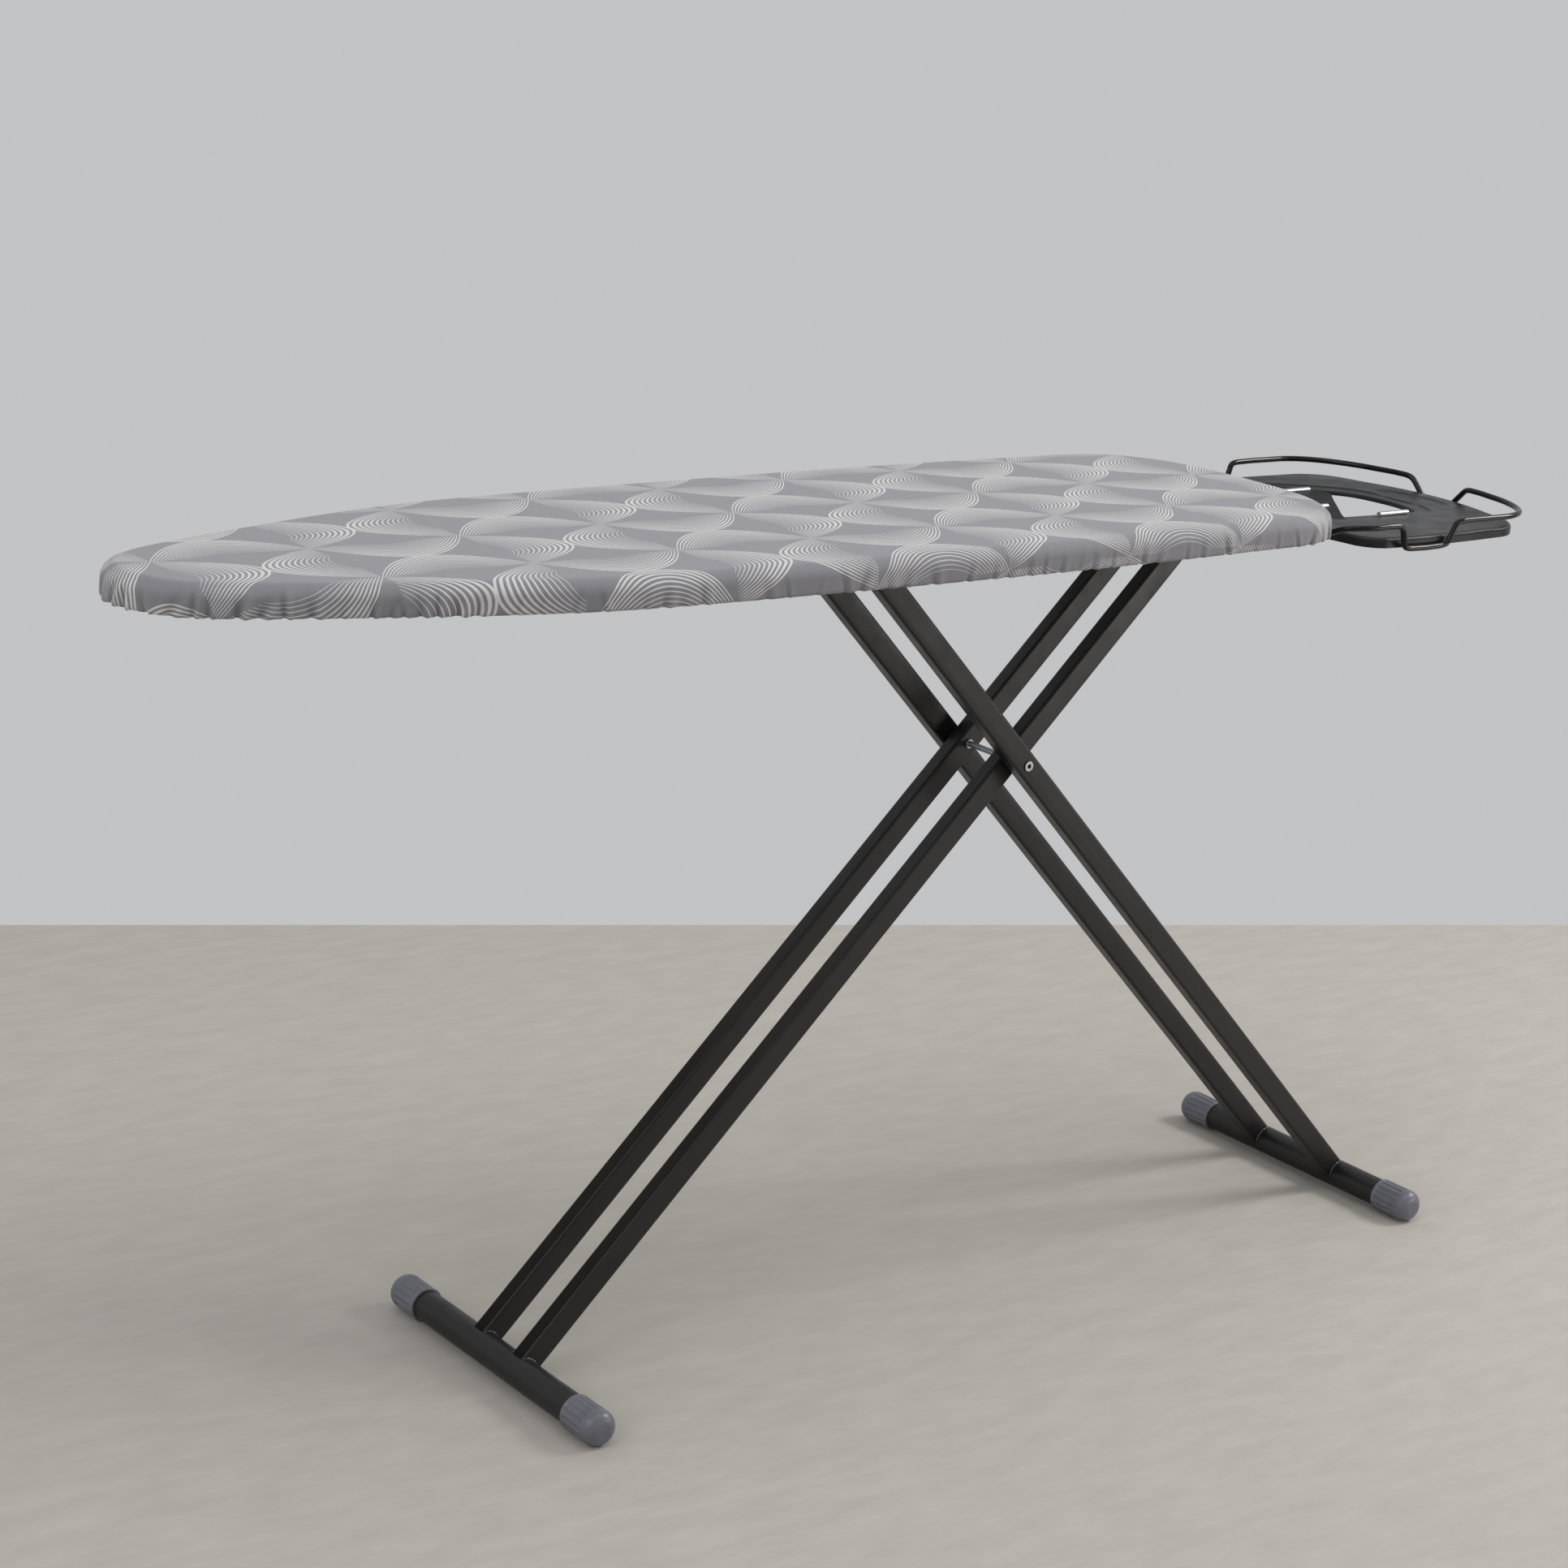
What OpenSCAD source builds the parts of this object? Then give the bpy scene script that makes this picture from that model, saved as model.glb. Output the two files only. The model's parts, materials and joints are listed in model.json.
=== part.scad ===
// Folding ironing board on scissor legs, with an iron rest at its heel end.
// X runs along the board from nose (-X) to iron rest (+X), Y across it, Z up from the floor.
// The origin is the middle of the footprint, on the floor.

/* [Board] */
// Length of the board over its cover, nose to heel
board_len = 1256; // [1200:1:1300]
// Widest width over the cover
board_w = 368; // [350:1:400]
// Height of the ironing surface above the floor
top_z = 783.5; // [782:0.5:786]
// Depth of the cover's side skirt
skirt_h = 27; // [25:0.5:28]
// Thickness of the felt pad
pad_t = 6; // [4:0.5:7]
// Thickness of the cover cloth
cloth_t = 1.2; // [0.8:0.1:1.5]
// Across-corners size of a steam hole in the deck
steam_hole = 16; // [8:1:20]

/* [Legs] */
// Height of the scissor axle above the floor
axle_z = 535.8; // [534:0.1:538]
// Slope of the inner leg frame, in degrees from the floor
inner_slope = 44.45; // [44:0.05:45]
// Slope of the outer leg frame, in degrees from the floor
outer_slope = 45.46; // [45:0.02:46]
// Height of the two upper leg pivots above the floor
upper_pivot_z = 752; // [751:0.5:753]
// Broad face of the leg tube
leg_w = 24; // [22:0.5:25]
// Depth of the leg tube across the board
leg_t = 17.3; // [16:0.1:17.5]
// Corner radius of the leg tube
leg_r = 2.8; // [2:0.1:3.5]
// Distance from the centre line to an inner leg's centre
inner_leg_y = 32.5; // [32:0.1:33]
// Distance from the centre line to an outer leg's centre
outer_leg_y = 55.6; // [55.4:0.1:56]
// Radius of the round foot tube
foot_r = 14.7; // [14:0.1:15]
// Radius of the foot cap
cap_r = 16.9; // [16.5:0.1:18]
// Half length of the foot bar over its caps
foot_half = 172; // [160:1:180]
// Length of one foot cap
cap_len = 46; // [40:1:50]

/* [Iron rest] */
// Length of the iron rest beyond the heel of the cover, over its rail
rest_reach = 283; // [280:1:286]
// Half width of the pan
pan_half = 149; // [145:1:152]
// Height of the pan's top face above the floor
pan_z = 748.6; // [747:0.2:750]
// Depth of the pan's outer skirt
pan_skirt = 10; // [8:0.5:11]
// Diameter of the rail wire
wire_d = 6; // [5:0.5:6.5]
// Length of one heat rest
heat_rest_len = 42; // [36:1:43]

/* [Hidden] */

$fn = 48;
eps = 0.01;

// Places along the board
nose_x = -(board_len + rest_reach) / 2;
heel_x = nose_x + board_len;
rest_end_x = heel_x + rest_reach;
axle_x = nose_x + 926.5;
upper_drop = upper_pivot_z - axle_z;
inner_pivot_x = axle_x + upper_drop / tan(inner_slope);
slide_x = axle_x - upper_drop / tan(outer_slope);
lower_drop = axle_z - cap_r;
nose_foot_x = axle_x - lower_drop / tan(inner_slope);
heel_foot_x = axle_x + lower_drop / tan(outer_slope);

// Leg frames
leg_wall = 1;
inner_upper = upper_drop / sin(inner_slope);
outer_upper = upper_drop / sin(outer_slope);
inner_lower = lower_drop / sin(inner_slope);
outer_lower = lower_drop / sin(outer_slope);
leg_past_pivot = 14;
plug_len = 6;
plug_head = 1.5;
plug_gap = 0.1;
axle_r = 3;
rivet_head_r = 5;
rivet_head_t = 1.2;
rivet_bore_r = 2.2;
rivet_bore_depth = 8;
pivot_rod_r = 4;
press_gap = 0.03;
run_gap = 0.05;
side_gap = 0.3;
foot_wall = 1.5;
cap_wall_gap = 0.05;
cap_end_t = 6;
cap_round = 10;
flute_count = 16;
flute_r = 5;
flute_depth = 0.7;

// Board layers, from the top down
pad_top = top_z - cloth_t;
pad_bottom = pad_top - pad_t;
deck_t = 0.8;
deck_bottom = pad_bottom - deck_t;
rim_t = 1;
rim_flange = 9;
hem_z = top_z - skirt_h;
hem_lip = 16;
hem_lip_t = 1.2;
rim_bottom = hem_z + hem_lip_t + 0.6;
elastic_t = 0.4;
pad_inset = cloth_t + 0.3;
deck_inset = pad_inset + 2;
rim_inset = pad_inset + 0.3;

// Steam holes
hole_pitch_x = 46;
hole_pitch_y = 40;
hole_margin = 26;

// Cross braces, as hat channels
brace_w = 26;
brace_h = 11;
brace_t = 1.2;
brace_lip = 8;
nose_brace_x = nose_x + 210;
middle_brace_x = nose_x + 450;
heel_brace_x = heel_x - 58;

// Height racks
rack_y = 75.5;
rack_t = 2.5;
rack_bottom = upper_pivot_z - 10;
rack_flange = 12;
notch_pitch = 38;
notch_count = 6;
notch_lift = 3;
slot_gap = 0.6;
slot_from = slide_x - 192;
slot_to = slide_x + 62;
rack_from = slot_from - 14;
rack_to = slot_to + 52;

// Fixed pivot
ear_in = 43.2;
ear_t = 2.5;
ear_half = 20;
clip_t = 1.5;
clip_r = 7;
washer_r = 9;
sleeve_r = 6.5;
pivot_rod_half = ear_in + ear_t + clip_t + 1.3;

// Slide rod in the outer frame
slide_rod_half = 82;
slide_clip_y = rack_y + rack_t + 0.9;

// Release lever, inside the near rack
lever_pin_x = slot_to + 30;
lever_pin_z = upper_pivot_z - 2;
lever_y = 69;
lever_t = 2.5;
lever_pin_r = 3;
lever_boss_r = 9;
pin_head_r = 5;
pin_head_t = 1.5;
comb_top = upper_pivot_z - pivot_rod_r - 1;
comb_bottom = comb_top - 11;
comb_notch_r = 5;
comb_notch_depth = 3;
spring_r = 5;
spring_wire_r = 0.75;
grip_x = lever_pin_x + 62;
grip_z = upper_pivot_z + 1.5;
grip_reach = 54;
grip_w = 20;
grip_h = 11;
grip_arm_w = 12;
grip_arm_h = 2.4;

// Iron rest
sheet_t = 1.2;
pan_left = heel_x + 20;
rail_end = rest_end_x - wire_d / 2;
pan_end = rail_end - wire_d / 2 - 0.5;
pan_bulge = 20;
pan_corner_r = 50;
pan_inner_r = 30;
bridge_t = 1.5;
bridge_top = pan_z - sheet_t - 0.05;
arm_t = 3;
arm_w = 20;
arm_y = 46;
rail_high = pan_z + 14;
rail_low = pan_z - pan_skirt;
rail_y = pan_half + 10;
heat_rest_r = 3.2;
seat_gap = 0.02;
rivet_r = 4;
rivet_t = 1.4;

steel_black = [0.10, 0.10, 0.11];
tube_black = [0.20, 0.19, 0.19];
zinc = [0.78, 0.79, 0.80];
cap_grey = [0.42, 0.43, 0.48];
cloth_grey = [0.62, 0.61, 0.63];
felt_cream = [0.85, 0.83, 0.78];
plain_steel = [0.55, 0.56, 0.58];
dark_plastic = [0.12, 0.12, 0.13];

// ---------- outlines ----------

// Stations along one side of the board: distance from the nose, half width.
stations = [[32, 63], [60, 79], [120, 101.5], [180, 121], [245, 141], [310, 157], [380, 169],
            [500, 176.5], [700, 182], [850, 184], [1000, 181], [1120, 175.5]];
nominal_len = 1256;
nominal_w = 368;
nose_round = 32;
nose_front = 60;
nose_power = 1.5;
heel_start = 1120;
heel_power = 2.7;

function spline(a, b, c, d, t) =
    0.5 * ((2 * b) + (c - a) * t + (2 * a - 5 * b + 4 * c - d) * t * t
           + (3 * b - a - 3 * c + d) * t * t * t);

function side_points(steps) =
    let (n = len(stations))
    [for (i = [0 : n - 2])
        let (a = stations[max(i - 1, 0)], d = stations[min(i + 2, n - 1)])
        for (k = [0 : steps - 1]) spline(a, stations[i], stations[i + 1], d, k / steps)];

function nose_points(steps) =
    [for (k = [1 : steps - 1])
        let (x = nose_round * pow(k / steps, 2),
             front = nose_front + x * (stations[0][1] - nose_front) / nose_round)
        [x, front * pow(1 - pow(1 - x / nose_round, nose_power), 1 / nose_power)]];

function heel_points(steps) =
    let (last = stations[len(stations) - 1], span = nominal_len - heel_start)
    [for (k = [0 : steps])
        let (a = 90 * k / steps)
        [heel_start + span * pow(sin(a), 2 / heel_power),
         last[1] * pow(cos(a), 2 / heel_power)]];

function half_outline() = concat([[0, 0]], nose_points(7), side_points(3), heel_points(14));

// Closed outline of the board at the size asked for, in the part's own frame.
function board_outline() =
    let (half = [for (p = half_outline())
                    [nose_x + p[0] * board_len / nominal_len, p[1] * board_w / nominal_w]],
         n = len(half))
    concat([for (p = half) [p[0], -p[1]]],
           [for (i = [n - 2 : -1 : 1]) half[i]]);

// Moves each point of a closed counter-clockwise outline inwards by d.
function inset(points, d) =
    let (n = len(points))
    [for (i = [0 : n - 1])
        let (before = points[(i + n - 1) % n], after = points[(i + 1) % n],
             run = after - before, size = norm(run))
        points[i] + d * [-run[1], run[0]] / size];

outline = board_outline();

// Half width of the board at a place along it.
function half_width(x) =
    let (at = (x - nose_x) * nominal_len / board_len,
         t = max(0, (at - heel_start) / (nominal_len - heel_start)))
    lookup(at, stations) * pow(1 - pow(t, heel_power), 1 / heel_power) * board_w / nominal_w;

function arc(centre, r, from, to, steps) =
    [for (k = [0 : steps])
        let (a = from + (to - from) * k / steps) centre + r * [cos(a), sin(a)]];

// Outline of the pan: straight sides, rounded corners and a slightly bowed outer end.
function pan_outline(d) =
    let (half = pan_half - d, left = pan_left + d,
         corner = [pan_end - pan_bulge - pan_corner_r, pan_half - pan_corner_r],
         inner = [pan_left + pan_inner_r, pan_half - pan_inner_r],
         bow_r = (pow(corner[1], 2) + pow(pan_bulge, 2)) / (2 * pan_bulge),
         bow_x = pan_end - bow_r,
         bow_a = asin(corner[1] / bow_r))
    concat(arc([inner[0], -inner[1]], pan_inner_r - d, 180, 270, 6),
           arc([corner[0], -corner[1]], pan_corner_r - d, 270, 360 - bow_a, 9),
           arc([bow_x, 0], bow_r - d, -bow_a + 3, bow_a - 3, 8),
           arc(corner, pan_corner_r - d, bow_a, 90, 9),
           arc(inner, pan_inner_r - d, 90, 180, 6));

// Cut-out of the pan, measured from the pan's board-side edge.
cutout = [[42, -24], [50, -41], [90, -47], [150, -50], [171, -48], [182, -20], [184, 8],
          [179, 43], [165, 63], [136, 84], [106, 100], [70, 98], [46, 62], [40, 15]];

// Bridge under the pan, measured the same way: its slanting edge crosses the cut-out.
bridge = [[3, -60], [58, -60], [75, -37], [100, -8], [127, 24], [152, 52], [152, 70],
          [118, 108], [3, 108]];

function closed_curve(p, steps) =
    let (n = len(p))
    [for (i = [0 : n - 1]) for (k = [0 : steps - 1])
        spline(p[(i + n - 1) % n], p[i], p[(i + 1) % n], p[(i + 2) % n], k / steps)];

pan_cutout = [for (p = closed_curve(cutout, 3)) p + [pan_left, 0]];

// ---------- shared shapes ----------

// Cylinder along Y between two places.
module y_cylinder(x, z, r, from, to) {
    translate([x, to, z]) rotate([90, 0, 0]) cylinder(r = r, h = to - from);
}

module mirror_y() {
    children();
    mirror([0, 1, 0]) children();
}

module slab(points, z, h) {
    translate([0, 0, z]) linear_extrude(height = h) polygon(points);
}

module rounded_bar(w, t, r, h) {
    linear_extrude(height = h) {
        square([w - 2 * r, t], center = true);
        square([w, t - 2 * r], center = true);
        for (sx = [-1, 1], sy = [-1, 1])
            translate([sx * (w / 2 - r), sy * (t / 2 - r)]) circle(r = r);
    }
}

module leg_profile_tube(from, to) {
    translate([0, 0, from]) difference() {
        rounded_bar(leg_w, leg_t, leg_r, to - from);
        translate([0, 0, -1])
            rounded_bar(leg_w - 2 * leg_wall, leg_t - 2 * leg_wall, leg_r - leg_wall,
                        to - from + 2);
    }
}

// One leg: lean is +1 for a leg that rises towards the heel, -1 towards the nose.
module leg(y, slope, lean, upper, lower, foot_x, axle_hole, pivot_hole) {
    difference() {
        translate([axle_x, y, axle_z]) rotate([0, lean * (90 - slope), 0])
            leg_profile_tube(-lower, upper + leg_past_pivot);
        y_cylinder(foot_x, cap_r, foot_r, y - leg_t, y + leg_t);
        y_cylinder(axle_x, axle_z, axle_hole, y - leg_t, y + leg_t);
        y_cylinder(axle_x + lean * upper * cos(slope), upper_pivot_z, pivot_hole,
                   y - leg_t, y + leg_t);
    }
}

module leg_plug(y, slope, lean, upper) {
    translate([axle_x, y, axle_z]) rotate([0, lean * (90 - slope), 0])
        translate([0, 0, upper + leg_past_pivot]) {
            rounded_bar(leg_w, leg_t, leg_r, plug_head);
            translate([0, 0, -plug_len])
                rounded_bar(leg_w - 2 * leg_wall - 2 * plug_gap,
                            leg_t - 2 * leg_wall - 2 * plug_gap,
                            leg_r - leg_wall - plug_gap, plug_len + eps);
        }
}

module foot_tube(x) {
    inner_end = foot_half - cap_end_t;
    difference() {
        y_cylinder(x, cap_r, foot_r, -inner_end, inner_end);
        y_cylinder(x, cap_r, foot_r - foot_wall, -inner_end - 1, inner_end + 1);
    }
}

// Fluted cap with a rounded end, on the +Y end of a foot tube.
module foot_cap(x) {
    mouth = foot_half - cap_len;
    profile = concat([[foot_r + cap_wall_gap, mouth], [cap_r, mouth]],
                     [for (a = [0 : 15 : 90])
                         [cap_r - cap_round + cap_round * cos(a),
                          foot_half - cap_round + cap_round * sin(a)]],
                     [[0, foot_half], [0, foot_half - cap_end_t + 0.1],
                      [foot_r + cap_wall_gap, foot_half - cap_end_t + 0.1]]);
    flute_len = cap_len - cap_round - 6;
    translate([x, 0, cap_r]) difference() {
        rotate([-90, 0, 0]) rotate_extrude() polygon(profile);
        for (k = [0 : flute_count - 1]) {
            a = 360 * (k + 0.5) / flute_count;
            reach = cap_r + flute_r - flute_depth;
            y_cylinder(reach * cos(a), reach * sin(a), flute_r, mouth - 1, mouth + flute_len);
        }
    }
}

module washer(x, z, r, bore, from, to) {
    difference() {
        y_cylinder(x, z, r, from, to);
        y_cylinder(x, z, bore, from - 1, to + 1);
    }
}

// Strip bent in the XZ plane, of even thickness below the route given.
module bent_strip(route, t, y, w) {
    lower = [for (i = [len(route) - 1 : -1 : 0]) route[i] - [0, t]];
    translate([0, y + w / 2, 0]) rotate([90, 0, 0])
        linear_extrude(height = w) polygon(concat(route, lower));
}

// ---------- board ----------

module cover() {
    color(cloth_grey) difference() {
        slab(outline, hem_z, skirt_h);
        slab(inset(outline, cloth_t), hem_z + hem_lip_t, skirt_h - cloth_t - hem_lip_t);
        slab(inset(outline, hem_lip), hem_z - 1, hem_lip_t + 2);
    }
}

module hem_elastic() {
    color("white") difference() {
        slab(inset(outline, hem_lip - 4), hem_z + hem_lip_t + 0.05, elastic_t);
        slab(inset(outline, hem_lip - 1), hem_z, hem_lip_t + 2);
    }
}

module pad() {
    color(felt_cream) slab(inset(outline, pad_inset), pad_bottom, pad_t);
}

module deck_panel() {
    columns = floor((board_len - 2 * hole_margin) / hole_pitch_x);
    color(plain_steel) difference() {
        slab(inset(outline, deck_inset), deck_bottom, deck_t);
        for (i = [1 : columns - 1]) {
            x = nose_x + hole_margin + i * hole_pitch_x;
            shift = (i % 2) * hole_pitch_y / 2;
            rows = floor((half_width(x) - hole_margin - shift) / hole_pitch_y);
            for (j = [-rows - (i % 2) : rows])
                if (min(x - nose_x, heel_x - x) > 2 * hole_margin)
                    translate([x, j * hole_pitch_y + shift, deck_bottom - 1])
                        cylinder(d = steam_hole, h = deck_t + 2, $fn = 6);
        }
    }
}

module rim_frame() {
    color(steel_black) difference() {
        slab(inset(outline, rim_inset), rim_bottom, deck_bottom - rim_bottom);
        slab(inset(outline, rim_inset + rim_t), rim_bottom + rim_t, deck_bottom);
        slab(inset(outline, rim_inset + rim_flange), rim_bottom - 1, deck_bottom);
    }
}

// Hat channel across the board, its lips under the deck.
module cross_brace(x) {
    low = deck_bottom - brace_h;
    w = brace_w / 2;
    reach = w + brace_lip;
    half = min(half_width(x - reach), half_width(x + reach)) - rim_inset - rim_flange - 3;
    profile = [[-reach, deck_bottom], [-reach, deck_bottom - brace_t],
               [-w, deck_bottom - brace_t], [-w, low], [w, low], [w, deck_bottom - brace_t],
               [reach, deck_bottom - brace_t], [reach, deck_bottom],
               [w - brace_t, deck_bottom], [w - brace_t, low + brace_t],
               [-w + brace_t, low + brace_t], [-w + brace_t, deck_bottom]];
    color(steel_black) translate([x, half, 0]) rotate([90, 0, 0])
        linear_extrude(height = 2 * half) polygon(profile);
}

module height_rack() {
    slot_r = pivot_rod_r + slot_gap;
    color(steel_black) difference() {
        union() {
            translate([rack_from, rack_y, rack_bottom])
                cube([rack_to - rack_from, rack_t, deck_bottom - rack_bottom]);
            translate([rack_from, rack_y, deck_bottom - rack_t])
                cube([rack_to - rack_from, rack_flange, rack_t]);
        }
        translate([slot_from, rack_y - 1, upper_pivot_z - slot_r])
            cube([slot_to - slot_from, rack_t + 2, 2 * slot_r]);
        for (k = [0 : notch_count - 1])
            y_cylinder(slide_x + (1 - k) * notch_pitch, upper_pivot_z + notch_lift, slot_r,
                       rack_y - 1, rack_y + rack_t + 1);
        y_cylinder(lever_pin_x, lever_pin_z, lever_pin_r + press_gap,
                   rack_y - 1, rack_y + rack_t + 1);
    }
}

module pivot_bracket() {
    color(steel_black) difference() {
        union() {
            translate([inner_pivot_x - ear_half, ear_in, upper_pivot_z])
                cube([2 * ear_half, ear_t, deck_bottom - upper_pivot_z]);
            y_cylinder(inner_pivot_x, upper_pivot_z, 11, ear_in, ear_in + ear_t);
            translate([inner_pivot_x - ear_half, ear_in, deck_bottom - ear_t])
                cube([2 * ear_half, rack_flange, ear_t]);
        }
        y_cylinder(inner_pivot_x, upper_pivot_z, pivot_rod_r + press_gap,
                   ear_in - 1, ear_in + ear_t + 1);
    }
}

module pivot_rod() {
    color(zinc) y_cylinder(inner_pivot_x, upper_pivot_z, pivot_rod_r,
                           -pivot_rod_half, pivot_rod_half);
}

module pivot_sleeve() {
    half = inner_leg_y - leg_t / 2 - side_gap;
    color(dark_plastic) washer(inner_pivot_x, upper_pivot_z, sleeve_r,
                               pivot_rod_r + run_gap, -half, half);
}

module pivot_washers() {
    color(dark_plastic) mirror_y()
        washer(inner_pivot_x, upper_pivot_z, washer_r, pivot_rod_r + run_gap,
               inner_leg_y + leg_t / 2 + side_gap, ear_in - 0.1);
}

module pivot_clips() {
    color(zinc) mirror_y()
        washer(inner_pivot_x, upper_pivot_z, clip_r, pivot_rod_r + press_gap,
               ear_in + ear_t + 0.1, ear_in + ear_t + clip_t);
}

// ---------- release lever ----------

// Pin with a head at each end, held in the near rack.
module lever_pin() {
    inner = lever_y - side_gap;
    outer = rack_y + rack_t + 0.1;
    color(zinc) {
        y_cylinder(lever_pin_x, lever_pin_z, lever_pin_r, -outer - pin_head_t, -inner + pin_head_t);
        y_cylinder(lever_pin_x, lever_pin_z, pin_head_r, -inner, -inner + pin_head_t);
        y_cylinder(lever_pin_x, lever_pin_z, pin_head_r, -outer - pin_head_t, -outer);
    }
}

// Two close turns of a torsion spring round the lever's pin.
module lever_spring() {
    first = lever_y + lever_t + 0.6 + spring_wire_r;
    color(zinc) for (k = [0 : 1])
        translate([lever_pin_x, -first - 2 * spring_wire_r * k, lever_pin_z])
            rotate([90, 0, 0]) rotate_extrude()
                translate([spring_r, 0]) circle(r = spring_wire_r - eps, $fn = 16);
}

module release_lever() {
    back = -lever_y - lever_t;
    comb_from = slot_from - 8;
    color(steel_black) difference() {
        union() {
            translate([comb_from, back, comb_bottom])
                cube([lever_pin_x - comb_from, lever_t, comb_top - comb_bottom]);
            y_cylinder(lever_pin_x, lever_pin_z, lever_boss_r, back, -lever_y);
            translate([lever_pin_x, back, grip_z - 4])
                cube([grip_x - lever_pin_x + grip_arm_w / 2, lever_t, 8]);
            translate([grip_x - grip_arm_w / 2, back - grip_reach, grip_z - grip_arm_h / 2])
                cube([grip_arm_w, grip_reach + lever_t, grip_arm_h]);
        }
        for (k = [0 : notch_count - 1])
            y_cylinder(slide_x + (1 - k) * notch_pitch, comb_top + comb_notch_r - comb_notch_depth,
                       comb_notch_r, back - 1, -lever_y + 1);
        y_cylinder(lever_pin_x, lever_pin_z, lever_pin_r + run_gap, back - 1, -lever_y + 1);
    }
}

module lever_grip() {
    to = -lever_y - lever_t - 6;
    from = to - grip_reach + 1;
    slot_from_end = 5;
    color(cap_grey) difference() {
        translate([grip_x, to, grip_z]) rotate([90, 0, 0])
            rounded_bar(grip_w, grip_h, 4, to - from);
        translate([grip_x - grip_arm_w / 2 - 0.1, from + slot_from_end - 0.5,
                   grip_z - grip_arm_h / 2 - 0.1])
            cube([grip_arm_w + 0.2, to - from, grip_arm_h + 0.2]);
    }
}

// ---------- iron rest ----------

module rest_pan() {
    color(steel_black) difference() {
        slab(pan_outline(0), pan_z - pan_skirt, pan_skirt);
        slab(pan_outline(sheet_t), pan_z - pan_skirt - 1, pan_skirt - sheet_t + 1);
        slab(pan_cutout, pan_z - pan_skirt, pan_skirt + 1);
        translate([pan_left - 1, -arm_y - arm_w, pan_z - pan_skirt - 1])
            cube([sheet_t + 1.5, 2 * (arm_y + arm_w), pan_skirt - sheet_t + 1]);
    }
}

module rest_bridge() {
    color(dark_plastic) slab([for (p = bridge) p + [pan_left, 0]], bridge_top - bridge_t, bridge_t);
}

module rest_arm() {
    seat = bridge_top - bridge_t - 0.05;
    brace_bottom = deck_bottom - brace_h;
    route = [[heel_brace_x - 12, brace_bottom], [heel_brace_x + 13, brace_bottom],
             [heel_x - 30, hem_z - 4], [pan_left - 12, seat], [pan_left + 50, seat]];
    color(steel_black) bent_strip(route, arm_t, arm_y, arm_w);
}

// Route of one half of the rail wire, from its middle at the outer end to its tail.
rail_half = [[0, 0, rail_low], [0, 14, rail_low], [0, 21, rail_low + 5],
             [0, 34, rail_high - 5], [-2, 44, rail_high], [-8, 80, rail_high],
             [-15, 104, rail_high], [-27, 128, rail_high], [-44, 148, rail_high],
             [-66, rail_y, rail_high], [-90, rail_y + 2, rail_high],
             [-144, rail_y + 1, rail_high], [-152, rail_y, rail_high - 5],
             [-158, rail_y - 1, rail_low + 5], [-166, rail_y - 2, rail_low],
             [-214, rail_y - 2, rail_low], [-222, rail_y - 2, rail_low + 5],
             [-226, rail_y - 1, rail_high - 6], [-233, rail_y - 1, rail_high],
             [-264, rail_y - 1, rail_high], [-286, rail_y - 7, rail_high],
             [-296, rail_y - 20, rail_high - 3], [-303, rail_y - 40, rail_high - 12],
             [-330, rail_y - 62, rail_high - 14]];

// Frame of a swept section: across is horizontal or close to it, up completes it.
function sweep_ring(p, dir, r, sides) =
    let (u = dir / norm(dir), side = cross(u, [0, 0, 1]), across = side / norm(side),
         up = cross(across, u))
    [for (k = [0 : sides - 1])
        p + r * (cos(360 * k / sides) * across + sin(360 * k / sides) * up)];

module wire(route, r, sides) {
    n = len(route);
    rings = [for (i = [0 : n - 1])
        sweep_ring(route[i], route[min(i + 1, n - 1)] - route[max(i - 1, 0)], r, sides)];
    points = [for (ring = rings) for (p = ring) p];
    walls = [for (i = [0 : n - 2]) for (k = [0 : sides - 1])
        let (m = (k + 1) % sides)
        [i * sides + k, i * sides + m, (i + 1) * sides + m, (i + 1) * sides + k]];
    first = [for (k = [sides - 1 : -1 : 0]) k];
    last = [for (k = [0 : sides - 1]) (n - 1) * sides + k];
    polyhedron(points = points, faces = concat([first], walls, [last]), convexity = 8);
}

function smooth_route(p, steps) =
    let (n = len(p))
    concat([for (i = [0 : n - 2]) for (k = [0 : steps - 1])
                spline(p[max(i - 1, 0)], p[i], p[i + 1], p[min(i + 2, n - 1)], k / steps)],
           [p[n - 1]]);

module rest_rail() {
    n = len(rail_half);
    far = [for (p = rail_half) p + [rail_end, 0, 0]];
    near = [for (i = [n - 1 : -1 : 1]) [far[i][0], -far[i][1], far[i][2]]];
    color(steel_black) wire(smooth_route(concat(near, far), 2), wire_d / 2, 10);
}

// Half-round heat rests that keep the iron off the pan: two on the bridge, one on the pan.
module heat_rests() {
    places = [[100, 75, bridge_top], [50, 0, bridge_top], [108, -57, pan_z]];
    color(zinc) for (p = places)
        translate(p + [pan_left, 0, seat_gap]) rotate([0, 90, 0]) difference() {
            cylinder(r = heat_rest_r, h = heat_rest_len);
            translate([0, -heat_rest_r - 1, -1])
                cube([heat_rest_r + 1, 2 * heat_rest_r + 2, heat_rest_len + 2]);
        }
}

module rest_rivets() {
    color(plain_steel) for (x = [pan_left + 13, pan_left + 31], y = [-arm_y, arm_y])
        translate([x, y, pan_z + seat_gap]) cylinder(r = rivet_r, h = rivet_t);
}

// ---------- leg frames ----------

module inner_leg(y) {
    color(tube_black) leg(y, inner_slope, 1, inner_upper, inner_lower, nose_foot_x,
                          axle_r + press_gap, pivot_rod_r + run_gap);
}

module outer_leg(y) {
    color(tube_black) leg(y, outer_slope, -1, outer_upper, outer_lower, heel_foot_x,
                          axle_r + run_gap, pivot_rod_r + press_gap);
}

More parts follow.
